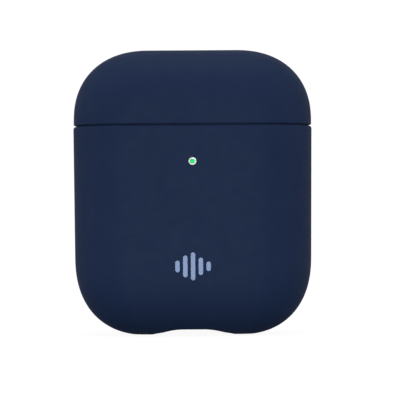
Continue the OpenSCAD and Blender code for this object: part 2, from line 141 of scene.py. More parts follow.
# --------------------------------------------------------------------------
# Mesh helpers
# --------------------------------------------------------------------------
def new_object(name, verts, faces):
    mesh = bpy.data.meshes.new(name)
    mesh.from_pydata([tuple(v) for v in verts], [], faces)
    mesh.validate()
    obj = bpy.data.objects.new(name, mesh)
    bpy.context.scene.collection.objects.link(obj)
    bm = bmesh.new()
    bm.from_mesh(mesh)
    bmesh.ops.recalc_face_normals(bm, faces=bm.faces)
    bm.to_mesh(mesh)
    bm.free()
    return obj


def skin(name, pairs, nt=34, nf=9, loop=False):
    n = 4 * (nt + nf)
    verts = []
    for t, z in pairs:
        for p in ring(t, z, nt, nf):
            verts.append((p[0] * MM, p[1] * MM, z * MM))
    m = len(pairs)
    faces = []
    for k in range(m if loop else m - 1):
        k2 = (k + 1) % m
        for i in range(n):
            j = (i + 1) % n
            faces.append((k * n + i, k * n + j, k2 * n + j, k2 * n + i))
    if not loop:
        half = n // 2
        for base in (0, (m - 1) * n):
            faces.append((base, base + 1, base + n - 1))
            for i in range(1, half - 1):
                faces.append((base + i, base + i + 1, base + n - i - 1, base + n - i))
            faces.append((base + half - 1, base + half, base + half + 1))
    return new_object(name, verts, faces)


def loft(name, rings):
    """closed solid through rings of equal length, given as 3-D points in mm"""
    n = len(rings[0])
    verts = [tuple(c * MM for c in p) for r in rings for p in r]
    faces = []
    for k in range(len(rings) - 1):
        for i in range(n):
            j = (i + 1) % n
            faces.append((k * n + i, k * n + j, (k + 1) * n + j, (k + 1) * n + i))
    faces.append(tuple(range(n)))
    faces.append(tuple((len(rings) - 1) * n + i for i in range(n)))
    return new_object(name, verts, faces)


AXES = {
    "x": lambda r, a, h: (h, r * math.cos(a), r * math.sin(a)),
    "y": lambda r, a, h: (r * math.cos(a), h, r * math.sin(a)),
    "z": lambda r, a, h: (r * math.cos(a), r * math.sin(a), h),
}


def revolve(name, profile, axis, at=(0, 0, 0), seg=64):
    """closed solid of revolution; profile is [(radius, height)], its ends on the axis or capped"""
    rings = []
    for r, h in profile:
        rings.append([
            tuple(c + o for c, o in zip(AXES[axis](max(r, 1e-4), 2 * math.pi * i / seg, h), at))
            for i in range(seg)
        ])
    return loft(name, rings)


def rod(r, u, v, axis, at, edge=0.0, seg=64, name="rod"):
    """a rod with rounded ends"""
    if edge <= 0:
        prof = [(r, u), (r, v)]
    else:
        arc = [(math.sin(b), math.cos(b)) for b in np.radians(np.linspace(0, 90, 6))]
        prof = [(r - edge + edge * s, u + edge - edge * c) for s, c in arc]
        prof += [(r - edge + edge * s, v - edge + edge * c) for s, c in reversed(arc)]
    return revolve(name, prof, axis, at, seg)


def box(lo, hi, name="box", edge=0.0, seg=3):
    x0, y0, z0 = (c * MM for c in lo)
    x1, y1, z1 = (c * MM for c in hi)
    v = [(x0, y0, z0), (x1, y0, z0), (x1, y1, z0), (x0, y1, z0),
         (x0, y0, z1), (x1, y0, z1), (x1, y1, z1), (x0, y1, z1)]
    f = [(0, 3, 2, 1), (4, 5, 6, 7), (0, 1, 5, 4), (1, 2, 6, 5), (2, 3, 7, 6), (3, 0, 4, 7)]
    obj = new_object(name, v, f)
    if edge > 0:
        bm = bmesh.new()
        bm.from_mesh(obj.data)
        bmesh.ops.bevel(bm, geom=bm.edges[:], offset=edge * MM, segments=seg, affect="EDGES", profile=0.5)
        bm.to_mesh(obj.data)
        bm.free()
    return obj


def outline(w, d, r, seg=12, step=1.0):
    """rounded rectangle with outward normals: [(x, y, nx, ny)], anticlockwise, evenly filled"""
    pts = []
    corners = [(w / 2 - r, d / 2 - r, 0), (-w / 2 + r, d / 2 - r, 90),
               (-w / 2 + r, -d / 2 + r, 180), (w / 2 - r, -d / 2 + r, 270)]
    for cx, cy, a0 in corners:
        for i in range(seg + 1):
            a = math.radians(a0 + 90 * i / seg)
            pts.append((cx + r * math.cos(a), cy + r * math.sin(a), math.cos(a), math.sin(a)))
    out = []
    for i, p in enumerate(pts):
        q = pts[(i + 1) % len(pts)]
        out.append(p)
        gap = math.hypot(q[0] - p[0], q[1] - p[1])
        k = int(gap // step)
        if abs(p[2] - q[2]) < 1e-6 and abs(p[3] - q[3]) < 1e-6 and k > 0:
            for s in range(1, k + 1):
                f = s / (k + 1)
                out.append((p[0] + (q[0] - p[0]) * f, p[1] + (q[1] - p[1]) * f, p[2], p[3]))
    clean = []
    for p in out:
        if not clean or math.hypot(p[0] - clean[-1][0], p[1] - clean[-1][1]) > 1e-5:
            clean.append(p)
    return clean


def stadium(name, w, d, u, v, at=(0, 0), edge=0.0, flare=0.0):
    """prism along z with round ends; edge rounds its rims, flare widens its low mouth"""
    line = outline(w, d, min(w, d) / 2 - 1e-3, seg=16, step=1.0)

    def lay(off, z):
        return [(at[0] + x + nx * off, at[1] + y + ny * off, z) for x, y, nx, ny in line]

    rings = []
    if flare > 0:
        rings.append(lay(flare, u - 2))
        for b in np.radians(np.linspace(0, 90, 7)):
            rings.append(lay(flare * (1 - math.sin(b)), u + flare * (1 - math.cos(b)) - 0.002))
        rings.append(lay(0, v))
    elif edge > 0:
        for b in np.radians(np.linspace(0, 90, 5)):
            rings.append(lay(-edge * (1 - math.sin(b)), u + edge * (1 - math.cos(b))))
        for b in np.radians(np.linspace(90, 0, 5)):
            rings.append(lay(-edge * (1 - math.sin(b)), v - edge * (1 - math.cos(b))))
    else:
        rings = [lay(0, u), lay(0, v)]
    return loft(name, rings)


def hole_cutter(r, surface, depth, fillet, at, sign):
    """round hole along y with a rounded rim at y = surface; sign is the outward direction"""
    eps = 0.002
    prof = [(r + fillet, surface + sign * 3)]
    for b in np.radians(np.linspace(0, 90, 8)):
        prof.append((r + fillet * (1 - math.sin(b)), surface + sign * (eps - fillet * (1 - math.cos(b)))))
    prof.append((r, surface - sign * depth))
    return revolve("hole_cutter", prof, "y", at, 72)


def relief_cutter(low, high, r, fillet):
    """opening round the hinge in the back of the cover, its outer rim rounded"""
    cz = (low + high) / 2
    line = [(x, z + cz, nx, nz) for x, z, nx, nz in outline(40.4, high - low, r, seg=10, step=0.7)]
    rings = [[(x, 5.0, z) for x, z, nx, nz in line]]
    for b in np.radians(np.linspace(90, 0, 7)):
        lay = []
        for x, z, nx, nz in line:
            f = fillet * (1 - math.sin(b))
            qx, qz = x + nx * f, z + nz * f
            lay.append((qx, surf_y(qx, qz) + 0.002 - fillet * (1 - math.cos(b)), qz))
        rings.append(lay)
    rings.append([(x + nx * fillet, 16.0, z + nz * fillet) for x, z, nx, nz in line])
    return loft("relief_cutter", rings)


def port_cutter(front, side):
    """cut-out round the socket; its rim is rounded, and eased further towards the sides"""
    line = outline(15.4, 11.9, 5.7, seg=26, step=0.6)

    def ease(nx):
        k = min(1.0, max(0.0, (abs(nx) - 0.66) / 0.25))
        return front + (side - front) * k * k * (3 - 2 * k)

    rings = [[(x + nx * ease(nx), y + ny * ease(nx), -4.0) for x, y, nx, ny in line]]
    for b in np.radians(np.linspace(0, 90, 10)):
        lay = []
        for x, y, nx, ny in line:
            e = ease(nx)
            f = e * (1 - math.sin(b))
            qx, qy = x + nx * f, y + ny * f
            z0 = max(0.0, foot_z(qy))
            lay.append((qx, qy, z0 - 0.002 + e * (1 - math.cos(b))))
        rings.append(lay)
    rings.append([(x, y, 6.0) for x, y, nx, ny in line])
    return loft("port_cutter", rings)


def join(objs, name):
    verts, faces = [], []
    for o in objs:
        base = len(verts)
        verts += [tuple(o.matrix_world @ v.co) for v in o.data.vertices]
        faces += [tuple(base + i for i in p.vertices) for p in o.data.polygons]
        bpy.data.objects.remove(o)
    return new_object(name, verts, faces)


def boolean(obj, other, op="DIFFERENCE"):
    if isinstance(other, (list, tuple)):
        other = join(list(other), "cutters") if len(other) > 1 else other[0]
    mod = obj.modifiers.new("cut", "BOOLEAN")
    mod.operation = op
    mod.solver = "EXACT"
    mod.object = other
    bpy.context.view_layer.update()
    dg = bpy.context.evaluated_depsgraph_get()
    mesh = bpy.data.meshes.new_from_object(obj.evaluated_get(dg))
    obj.modifiers.clear()
    old = obj.data
    obj.data = mesh
    bpy.data.meshes.remove(old)
    bpy.data.objects.remove(other)
    return obj


def tidy(obj, angle=32, merge=1e-6):
    """merges doubles, drops slivers, and shades smooth with crisp edges above the angle"""
    bm = bmesh.new()
    bm.from_mesh(obj.data)
    bmesh.ops.remove_doubles(bm, verts=bm.verts, dist=merge)
    bmesh.ops.dissolve_degenerate(bm, dist=1e-7, edges=bm.edges)
    bmesh.ops.recalc_face_normals(bm, faces=bm.faces)
    bm.to_mesh(obj.data)
    bm.free()
    obj.data.polygons.foreach_set("use_smooth", [True] * len(obj.data.polygons))
    obj.data.set_sharp_from_angle(angle=math.radians(angle))
    return obj


def apply_mods(obj):
    bpy.context.view_layer.update()
    dg = bpy.context.evaluated_depsgraph_get()
    mesh = bpy.data.meshes.new_from_object(obj.evaluated_get(dg))
    obj.modifiers.clear()
    old = obj.data
    obj.data = mesh
    bpy.data.meshes.remove(old)
    return obj


def body_levels(lo, hi, step=2.6):
    k = max(1, int(round((hi - lo) / step)))
    return [lo + (hi - lo) * i / k for i in range(k + 1)]


# --------------------------------------------------------------------------
# Materials
# --------------------------------------------------------------------------
class Mat:
    """thin wrapper that wires a Principled node with object-space textures"""

    def __init__(self, name):
        self.m = bpy.data.materials.new(name)
        self.m.use_nodes = True
        self.t = self.m.node_tree
        self.t.nodes.clear()
        self.out = self.add("ShaderNodeOutputMaterial")
        self.p = self.add("ShaderNodeBsdfPrincipled")
        self.link(self.p, "BSDF", self.out, "Surface")
        self.co = self.add("ShaderNodeTexCoord")
        self.last_bump = None

    def add(self, kind):
        return self.t.nodes.new(kind)

    def link(self, a, ao, b, bi):
        self.t.links.new(a.outputs[ao], b.inputs[bi])

    def set(self, **kw):
        for k, v in kw.items():
            self.p.inputs[k.replace("_", " ")].default_value = v
        return self

    def mapped(self, scale=(1, 1, 1)):
        mp = self.add("ShaderNodeMapping")
        mp.inputs["Scale"].default_value = scale
        self.link(self.co, "Object", mp, "Vector")
        return mp

    def noise(self, size_mm, detail=4.0, rough=0.55, stretch=(1, 1, 1)):
        mp = self.mapped(stretch)
        n = self.add("ShaderNodeTexNoise")
        n.inputs["Scale"].default_value = 1000.0 / size_mm
        n.inputs["Detail"].default_value = detail
        n.inputs["Roughness"].default_value = rough
        self.link(mp, "Vector", n, "Vector")
        return n

    def ramp(self, src, out, lo, hi, p0=0.3, p1=0.7):
        r = self.add("ShaderNodeMapRange")
        r.inputs["From Min"].default_value = p0
        r.inputs["From Max"].default_value = p1
        r.inputs["To Min"].default_value = lo
        r.inputs["To Max"].default_value = hi
        self.link(src, out, r, "Value")
        return r

    def colors(self, src, out, c0, c1, p0=0.3, p1=0.7):
        r = self.add("ShaderNodeValToRGB")
        r.color_ramp.elements[0].position = p0
        r.color_ramp.elements[0].color = (*c0, 1)
        r.color_ramp.elements[1].position = p1
        r.color_ramp.elements[1].color = (*c1, 1)
        self.link(src, out, r, "Fac")
        return r

    def bump(self, src, out, height_mm, strength=1.0):
        b = self.add("ShaderNodeBump")
        b.inputs["Strength"].default_value = strength
        b.inputs["Distance"].default_value = height_mm * MM
        self.link(src, out, b, "Height")
        if self.last_bump is not None:
            self.link(self.last_bump, "Normal", b, "Normal")
        self.last_bump = b
        t = [l for l in self.t.links if l.to_socket == self.p.inputs["Normal"]]
        for l in t:
            self.t.links.remove(l)
        self.link(b, "Normal", self.p, "Normal")
        return b

    def edge_light(self, color, base, lo=0.35, hi=0.75):
        """a 0-to-1 mask of where the surface turns sharply; it applies no colour"""
        g = self.add("ShaderNodeNewGeometry")
        r = self.ramp(g, "Pointiness", 0.0, 1.0, 0.51, 0.58)
        return r


def soft_touch():
    m = Mat("cover_soft_navy")
    m.set(IOR=1.45)
    # faint mottling in the dye, two scales
    big = m.noise(9.0, 3.0)
    fine = m.noise(0.35, 5.0, 0.6)
    base = m.colors(big, "Fac", (0.0092, 0.0213, 0.0612), (0.0106, 0.0231, 0.0660), 0.35, 0.65)
    dust = m.colors(fine, "Fac", (0.0094, 0.0217, 0.0622), (0.0122, 0.0251, 0.0696), 0.40, 0.72)
    mix = m.add("ShaderNodeMix")
    mix.data_type = "RGBA"
    mix.inputs[0].default_value = 0.35
    m.t.links.new(base.outputs["Color"], mix.inputs[6])
    m.t.links.new(dust.outputs["Color"], mix.inputs[7])
    # handling wear: the coat is slightly paler where edges are rubbed
    geo = m.add("ShaderNodeNewGeometry")
    worn = m.ramp(geo, "Pointiness", 0.0, 0.35, 0.53, 0.64)
    rub = m.noise(1.6, 4.0)
    rubr = m.ramp(rub, "Fac", 0.0, 1.0, 0.42, 0.62)
    mul = m.add("ShaderNodeMath")
    mul.operation = "MULTIPLY"
    m.t.links.new(worn.outputs[0], mul.inputs[0])
    m.t.links.new(rubr.outputs[0], mul.inputs[1])
    mix2 = m.add("ShaderNodeMix")
    mix2.data_type = "RGBA"
    m.t.links.new(mul.outputs[0], mix2.inputs[0])
    m.t.links.new(mix.outputs[2], mix2.inputs[6])
    mix2.inputs[7].default_value = (0.024, 0.038, 0.085, 1)
    m.t.links.new(mix2.outputs[2], m.p.inputs["Base Color"])
    rr = m.ramp(m.noise(2.4, 4.0), "Fac", 0.60, 0.70, 0.35, 0.65)
    m.link(rr, "Result", m.p, "Roughness")
    m.p.inputs["Specular IOR Level"].default_value = 0.10
    m.p.inputs["Sheen Weight"].default_value = 0.03
    m.p.inputs["Sheen Roughness"].default_value = 0.45
    m.p.inputs["Sheen Tint"].default_value = (0.45, 0.60, 0.95, 1)
    # coating grain and the very slight orange peel under it
    m.bump(m.noise(3.2, 2.0), "Fac", 0.008, 0.30)
    pits = m.add("ShaderNodeTexVoronoi")
    pits.feature = "SMOOTH_F1"
    pits.inputs["Scale"].default_value = 1000.0 / 0.16
    pits.inputs["Smoothness"].default_value = 0.6
    m.link(m.mapped(), "Vector", pits, "Vector")
    # painted shade: the base colour is made darker in the hollows between the grains, where a little less light would
    # reach
    grain_hollow_shade = m.ramp(pits, "Distance", 1.17, 0.90, 0.10, 0.62)
    tone = m.add("ShaderNodeVectorMath")
    tone.operation = "SCALE"
    m.t.links.new(mix2.outputs[2], tone.inputs[0])
    m.t.links.new(grain_hollow_shade.outputs["Result"], tone.inputs["Scale"])
    m.t.links.new(tone.outputs["Vector"], m.p.inputs["Base Color"])
    m.bump(pits, "Distance", 0.022, 0.60)
    m.bump(m.noise(0.09, 3.0, 0.6), "Fac", 0.012, 0.60)
    return m.m


def white_gloss(name, tint=(0.70, 0.70, 0.69), rough=0.20, coat=0.30, glow=0.0):
    m = Mat(name)
    n = m.noise(7.0, 2.0)
    c = m.colors(n, "Fac", tuple(v * 0.985 for v in tint), tint, 0.3, 0.7)
    m.link(c, "Color", m.p, "Base Color")
    smear = m.noise(3.0, 2.0, 0.5, (1, 1, 0.4))
    rr = m.ramp(smear, "Fac", rough * 0.85, rough * 1.25, 0.2, 0.8)
    m.link(rr, "Result", m.p, "Roughness")
    m.p.inputs["Coat Weight"].default_value = coat
    m.p.inputs["Coat Roughness"].default_value = 0.08
    if glow:
        # painted light: a white emission brightens the case's front round the status light, lighting the ring seen down
        # the cover's hole
        sep = m.add("ShaderNodeSeparateXYZ")
        m.link(m.co, "Object", sep, "Vector")
        cmb = m.add("ShaderNodeCombineXYZ")
        m.link(sep, "X", cmb, "X")
        m.link(sep, "Z", cmb, "Z")
        dist = m.add("ShaderNodeVectorMath")
        dist.operation = "DISTANCE"
        m.t.links.new(cmb.outputs[0], dist.inputs[0])
        dist.inputs[1].default_value = (0, 0, LED_Z * MM)
        ring_light_falloff = m.add("ShaderNodeMapRange")
        ring_light_falloff.inputs["From Min"].default_value = 0.85 * MM
        ring_light_falloff.inputs["From Max"].default_value = 1.30 * MM
        ring_light_falloff.inputs["To Min"].default_value = glow
        ring_light_falloff.inputs["To Max"].default_value = 0.0
        m.t.links.new(dist.outputs["Value"], ring_light_falloff.inputs["Value"])
        front = m.add("ShaderNodeMath")
        front.operation = "LESS_THAN"
        m.link(sep, "Y", front, 0)
        front.inputs[1].default_value = -9.5 * MM
        painted_ring_light = m.add("ShaderNodeMath")
        painted_ring_light.operation = "MULTIPLY"
        m.t.links.new(ring_light_falloff.outputs["Result"], painted_ring_light.inputs[0])
        m.t.links.new(front.outputs[0], painted_ring_light.inputs[1])
        m.p.inputs["Emission Color"].default_value = (0.98, 1.0, 0.99, 1)
        m.t.links.new(painted_ring_light.outputs[0], m.p.inputs["Emission Strength"])
    # the shallow waviness of a moulded wall, and a fine satin grain
    m.bump(m.noise(6.0, 0.0), "Fac", 0.010, 0.25)
    m.bump(m.noise(0.10, 2.0), "Fac", 0.0010, 0.45)
    return m.m


def metal(name, color, rough=0.28, grain=(0.04, 1, 1), grain_mm=0.09, aniso=0.4, contrast=0.5):
    m = Mat(name)
    m.p.inputs["Metallic"].default_value = 1.0
    n = m.noise(grain_mm, 3.0, 0.5, grain)
    c = m.colors(n, "Fac", tuple(v * (1 - 0.12 * contrast) for v in color),
                 tuple(min(1, v * (1 + 0.05 * contrast)) for v in color), 0.25, 0.75)
    m.link(c, "Color", m.p, "Base Color")
    rr = m.ramp(m.noise(grain_mm * 1.5, 3.0, 0.5, grain), "Fac",
                rough * (1 - 0.25 * contrast), rough * (1 + 0.35 * contrast), 0.25, 0.75)
    m.link(rr, "Result", m.p, "Roughness")
    m.p.inputs["Anisotropic"].default_value = aniso
    m.bump(n, "Fac", 0.0012 * contrast, 0.5)
    return m.m


def matte(name, c0, c1, rough=0.6, grain_mm=0.3, bump_mm=0.01, spec=0.4):
    m = Mat(name)
    n = m.noise(grain_mm * 5, 4.0)
    c = m.colors(n, "Fac", c0, c1, 0.3, 0.7)
    m.link(c, "Color", m.p, "Base Color")
    rr = m.ramp(m.noise(grain_mm * 3, 4.0), "Fac", rough * 0.85, min(1, rough * 1.15), 0.3, 0.7)
    m.link(rr, "Result", m.p, "Roughness")
    m.p.inputs["Specular IOR Level"].default_value = spec
    m.bump(m.noise(grain_mm, 4.0), "Fac", bump_mm, 0.6)
    return m.m


def lit_green():
    """status light: a frosted green lens, brightest in the middle"""
    m = Mat("led_green")
    sep = m.add("ShaderNodeSeparateXYZ")
    m.link(m.co, "Object", sep, "Vector")
    dx = m.add("ShaderNodeMath"); dx.operation = "POWER"
    m.t.links.new(sep.outputs["X"], dx.inputs[0]); dx.inputs[1].default_value = 2
    dz0 = m.add("ShaderNodeMath"); dz0.operation = "SUBTRACT"
    m.t.links.new(sep.outputs["Z"], dz0.inputs[0]); dz0.inputs[1].default_value = LED_Z * MM
    dz = m.add("ShaderNodeMath"); dz.operation = "POWER"
    m.t.links.new(dz0.outputs[0], dz.inputs[0]); dz.inputs[1].default_value = 2
    s = m.add("ShaderNodeMath"); s.operation = "ADD"
    m.t.links.new(dx.outputs[0], s.inputs[0]); m.t.links.new(dz.outputs[0], s.inputs[1])
    q = m.add("ShaderNodeMath"); q.operation = "SQRT"
    m.t.links.new(s.outputs[0], q.inputs[0])
    r = m.add("ShaderNodeMapRange")
    r.inputs["From Min"].default_value = 0.0
    r.inputs["From Max"].default_value = 0.47 * MM
    m.t.links.new(q.outputs[0], r.inputs["Value"])
    c = m.colors(r, "Result", (0.030, 0.84, 0.230), (0.014, 0.74, 0.160), 0.15, 0.95)
    m.link(c, "Color", m.p, "Emission Color")
    m.p.inputs["Emission Strength"].default_value = 0.92
    m.p.inputs["Base Color"].default_value = (0.010, 0.10, 0.03, 1)
    m.p.inputs["Roughness"].default_value = 0.6
    m.p.inputs["Specular IOR Level"].default_value = 0.08
    m.bump(m.noise(0.12, 3.0), "Fac", 0.003, 0.5)
    return m.m


def ink():
    m = Mat("mark_ink")
    n = m.noise(0.5, 5.0)
    c = m.colors(n, "Fac", (0.235, 0.335, 0.575), (0.270, 0.375, 0.615), 0.35, 0.65)
    m.link(c, "Color", m.p, "Base Color")
    rr = m.ramp(m.noise(0.3, 4.0), "Fac", 0.48, 0.62, 0.3, 0.7)
    m.link(rr, "Result", m.p, "Roughness")
    m.p.inputs["Specular IOR Level"].default_value = 0.3
    m.bump(m.noise(0.12, 3.0), "Fac", 0.0015, 0.4)
    return m.m


def board_green():
    m = Mat("board_green")
    n = m.noise(4.0, 2.0)
    base = m.colors(n, "Fac", (0.010, 0.085, 0.035), (0.016, 0.12, 0.05), 0.3, 0.7)
    br = m.add("ShaderNodeTexBrick")
    br.inputs["Scale"].default_value = 900
    br.inputs["Mortar Size"].default_value = 0.03
    br.inputs["Color1"].default_value = (0.010, 0.10, 0.04, 1)
    br.inputs["Color2"].default_value = (0.012, 0.11, 0.045, 1)
    br.inputs["Mortar"].default_value = (0.05, 0.20, 0.08, 1)
    mp = m.mapped((1, 1, 1))
    mp.inputs["Rotation"].default_value = (math.radians(90), 0, 0)
    m.link(mp, "Vector", br, "Vector")
    mix = m.add("ShaderNodeMix"); mix.data_type = "RGBA"; mix.inputs[0].default_value = 0.5
    m.t.links.new(base.outputs["Color"], mix.inputs[6])
    m.t.links.new(br.outputs["Color"], mix.inputs[7])
    m.t.links.new(mix.outputs[2], m.p.inputs["Base Color"])
    m.p.inputs["Roughness"].default_value = 0.35
    m.p.inputs["Coat Weight"].default_value = 0.4
    m.bump(br, "Fac", 0.01, 0.3)
    return m.m


def copper_coil():
    m = Mat("coil_copper")
    m.p.inputs["Metallic"].default_value = 1.0
    mp = m.mapped((1, 1, 1))
    mp.inputs["Location"].default_value = (0, 0, -BUTTON_Z * MM)
    w = m.add("ShaderNodeTexWave")
    w.wave_type = "RINGS"
    w.rings_direction = "Y"
    w.inputs["Scale"].default_value = 900
    w.inputs["Distortion"].default_value = 0.1
    m.link(mp, "Vector", w, "Vector")
    c = m.colors(w, "Fac", (0.35, 0.13, 0.045), (0.78, 0.38, 0.17), 0.2, 0.8)
    m.link(c, "Color", m.p, "Base Color")
    m.p.inputs["Roughness"].default_value = 0.3
    m.bump(w, "Fac", 0.05, 0.6)
    return m.m


M = {
    "cover_soft_navy": soft_touch(),
    # glow: painted light, a white emission on the case round the status light
    "case_white": white_gloss("case_white", glow=0.12),
    "insert_white": white_gloss("insert_white", (0.66, 0.66, 0.652), 0.30, 0.12),
    "hinge_metal": metal("hinge_metal", (0.60, 0.60, 0.61), 0.30, (0.05, 1, 1), 0.05),
    "spring_steel": metal("spring_steel", (0.46, 0.46, 0.48), 0.25),
    "screw_steel": metal("screw_steel", (0.42, 0.42, 0.44), 0.3, (1, 1, 1), 0.2, 0.0),
    "magnet_nickel": metal("magnet_nickel", (0.58, 0.58, 0.60), 0.12, (1, 1, 1), 0.5, 0.0),
    "tape_film": matte("tape_film", (0.66, 0.64, 0.58), (0.74, 0.72, 0.66), 0.5, 0.4, 0.01),
    "sensor_black": matte("sensor_black", (0.02, 0.02, 0.02), (0.03, 0.03, 0.03), 0.5),
    "flex_amber": matte("flex_amber", (0.30, 0.13, 0.02), (0.38, 0.18, 0.03), 0.3, 0.6, 0.006, 0.5),
    "cell_wrap": matte("cell_wrap", (0.10, 0.11, 0.13), (0.15, 0.16, 0.18), 0.35, 0.8, 0.03),
    "frame_black": matte("frame_black", (0.025, 0.025, 0.028), (0.04, 0.04, 0.044), 0.55, 0.15, 0.01),
    "foam_grey": matte("foam_grey", (0.10, 0.10, 0.10), (0.20, 0.20, 0.20), 0.95, 0.25, 0.08),
    "board_green": board_green(),
    "chip_black": matte("chip_black", (0.018, 0.018, 0.02), (0.028, 0.028, 0.03), 0.5, 0.1, 0.006),
    "shield_tin": metal("shield_tin", (0.62, 0.62, 0.62), 0.32, (1, 1, 1), 0.6, 0.0),
    "led_green": lit_green(),
    "port_steel": metal("port_steel", (0.55, 0.55, 0.57), 0.24, (1, 1, 0.05)),
    "port_black": matte("port_black", (0.015, 0.015, 0.016), (0.025, 0.025, 0.026), 0.45, 0.1, 0.004),
    "seal_black": matte("seal_black", (0.02, 0.02, 0.02), (0.03, 0.03, 0.03), 0.7, 0.15, 0.01),
    "contact_gold": metal("contact_gold", (0.83, 0.58, 0.20), 0.18, (1, 1, 1), 0.3, 0.0),
    "button_white": white_gloss("button_white", (0.69, 0.69, 0.68), 0.22, 0.25),
    "dome_steel": metal("dome_steel", (0.60, 0.57, 0.46), 0.25, (1, 1, 1), 0.4, 0.0),
    "coil_copper": copper_coil(),
    "ferrite_grey": matte("ferrite_grey", (0.05, 0.05, 0.055), (0.09, 0.09, 0.095), 0.6, 0.3, 0.01),
    "mark_ink": ink(),
}


def finish_piece(obj, name, mat, body, *nodes, slot=None):
    obj.name = name
    obj.data.name = name
    obj.data.materials.clear()
    obj.data.materials.append(M[mat])
    if nodes:
        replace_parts(obj, *nodes)
    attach(obj, body)
    return obj


# --------------------------------------------------------------------------
# Cover
# --------------------------------------------------------------------------
def arc(t0, z0, r, sz, steps=9):
    """quarter round from (t0, z0) at the outer face to (t0 + r, z0 + sz r) on the rim"""
    return [(t0 + r * (1 - math.cos(b)), z0 + sz * r * math.sin(b)) for b in np.radians(np.linspace(0, 90, steps))]


def lip_end_cutter(r=0.8):
    """clears the lip behind the middle and leaves its two ends rounded"""
    top = BODY_TOP + 1.05
    side = [(14.0, BODY_TOP + 2), (14.0, BODY_TOP), (2.0, BODY_TOP)]
    side += [(2.0 - r + r * math.cos(b), top - r + r * math.sin(b)) for b in np.radians(np.linspace(0, 90, 9))]
    side.append((2.0 - r, BODY_TOP + 2))
    return loft("lip_end_cutter", [[(x, y, z) for y, z in side] for x in (-30, 30)])


def make_cover_body():
    w = 1.55
    outer = [(0, 0.0)] + [(0, z) for z in levels(0, 34, False) if z > 0.03]
    outer += [(0, z) for z in (ZCB - 1.6, ZCB - 0.8)]
    outer += [(0, z) for z in body_levels(ZCB, BODY_TOP - BODY_EDGE)[:-1]]
    outer += arc(0, BODY_TOP - BODY_EDGE, BODY_EDGE, 1, 10)
    lip = [(1.10, BODY_TOP), (1.10, BODY_TOP + 0.92), (1.13, BODY_TOP + 1.01), (1.20, BODY_TOP + 1.05),
           (w - 0.08, BODY_TOP + 1.05), (w, BODY_TOP + 0.97)]
    inner = [(w, z) for z in reversed(body_levels(ZCB, BODY_TOP - 1))] + [(w, z) for z in reversed(levels(w, 18, False))]
    o = skin("cover_body", outer + lip + inner)
    boolean(o, lip_end_cutter())
    boolean(o, [
        relief_cutter(HZ - 3.7, HZ + 3, 1.5, 0.35),
        port_cutter(0.40, 1.10),
        hole_cutter(0.775, -B, 3, 0.06, (0, 0, LED_Z), -1),
        hole_cutter(4.3, B, 3, 0.35, (0, 0, BUTTON_Z), 1),
    ])
    tidy(o)
    return finish_piece(o, "cover_body_shell", "cover_soft_navy", "case", "cover_body")


def make_cover_lid():
    w, s = 1.55, STEP
    outer = [(s, z) for z in levels(s, 34, True)]
    outer += [(s, z) for z in (ZCT + 0.5, ZCT, LID_LOW + LID_EDGE)]
    outer += arc(s, LID_LOW + LID_EDGE, LID_EDGE, -1, 8)[1:]
    rim = [(1.05, LID_LOW), (1.05, LID_LOW + 1.0), (w, LID_LOW + 1.0), (w, 45.9), (1.30, 45.9), (1.30, 49.1), (w, 49.1)]
    inner = [(w, z) for z in reversed(levels(w, 20, True)) if z > 49.3]
    o = skin("cover_lid", outer + rim + inner)
    boolean(o, relief_cutter(HZ - 3, HZ + 2.4, 1.2, 0.30))
    tidy(o)
    return finish_piece(o, "cover_lid_shell", "cover_soft_navy", "lid", "cover_lid")


# --------------------------------------------------------------------------
# White case
# --------------------------------------------------------------------------
CO, CI = 1.63, 2.80
FRAME_X, FRAME_Y = 10.2, 3.4


def make_case_body():
    rim = SEAM - 0.05
    outer = [(CO, z) for z in levels(CO, 26, False)] + [(CO, z) for z in body_levels(ZCB, rim - 0.35)]
    outer += arc(CO, rim - 0.35, 0.35, 1, 6)[1:]
    inner = [(CI - 0.12, rim), (CI, rim - 0.12)] + [(CI, z) for z in reversed(body_levels(ZCB, rim - 1))]
    inner += [(CI, z) for z in reversed(levels(CI, 14, False))]
    o = skin("case_body", outer + inner)
    boolean(o, rod(2.05, -17.5, 17.5, "x", (0, HY, HZ), seg=96))
    adds = []
    for s in (-1, 1):
        u, v = sorted((12.2 * s, 17.2 * s))
        adds.append(rod(1.7, u, v, "x", (0, HY, HZ), edge=0.15, seg=72))
        adds.append(box((u + 0.2, HY - 0.55, HZ - 3), (v - 0.2, HY + 0.55, HZ - 0.2)))
        adds.append(rod(1.5, 2.3, 4.15, "z", (6.6 * s, 0, 0)))
        adds.append(rod(1.5, 2.65, 8.05, "z", (FRAME_X * s, FRAME_Y, 0)))
    for a in adds:
        boolean(o, a, "UNION")
    boolean(o, [
        stadium("socket", 9.06, 3.38, 1.30 + 0.05, 4, flare=0.22),
        rod(0.485, -12, -8, "y", (0, 0, LED_Z), seg=48),
        hole_cutter(3.55, B - CO, 3, 0.12, (0, 0, BUTTON_Z), 1),
    ] + [rod(0.58, 2.6, 5, "z", (6.6 * s, 0, 0), seg=32) for s in (-1, 1)]
      + [rod(0.62, 5.2, 9, "z", (FRAME_X * s, FRAME_Y, 0), seg=32) for s in (-1, 1)]
      + [rod(0.62, 9, 10.35, "y", (9 * s, 0, HZ - 4.8), seg=32) for s in (-1, 1)])
    boolean(o, stadium("seal", 10.4, 4.7, 1.95, 2.9))
    tidy(o)
    return finish_piece(o, "case_body_moulding", "case_white", "case", "case_body_shell")


def make_case_lid():
    rim = SEAM + 0.05
    outer = [(CO, z) for z in levels(CO, 26, True)] + [(CO, z) for z in (ZCT + 0.4, rim + 0.35)]
    outer += arc(CO, rim + 0.35, 0.35, -1, 6)[1:]
    inner = [(CI - 0.12, rim), (CI, rim + 0.12)] + [(CI, z) for z in reversed(levels(CI, 18, True))]
    o = skin("case_lid", outer + inner)
    boolean(o, [rod(2.05, -17.5, 17.5, "x", (0, HY, HZ), seg=96)]
            + [rod(0.62, 9, 10.2, "y", (7.5 * s, 0, HZ + 3.2), seg=32) for s in (-1, 1)])
    tidy(o)
    return finish_piece(o, "case_lid_moulding", "case_white", "lid", "case_lid_shell")


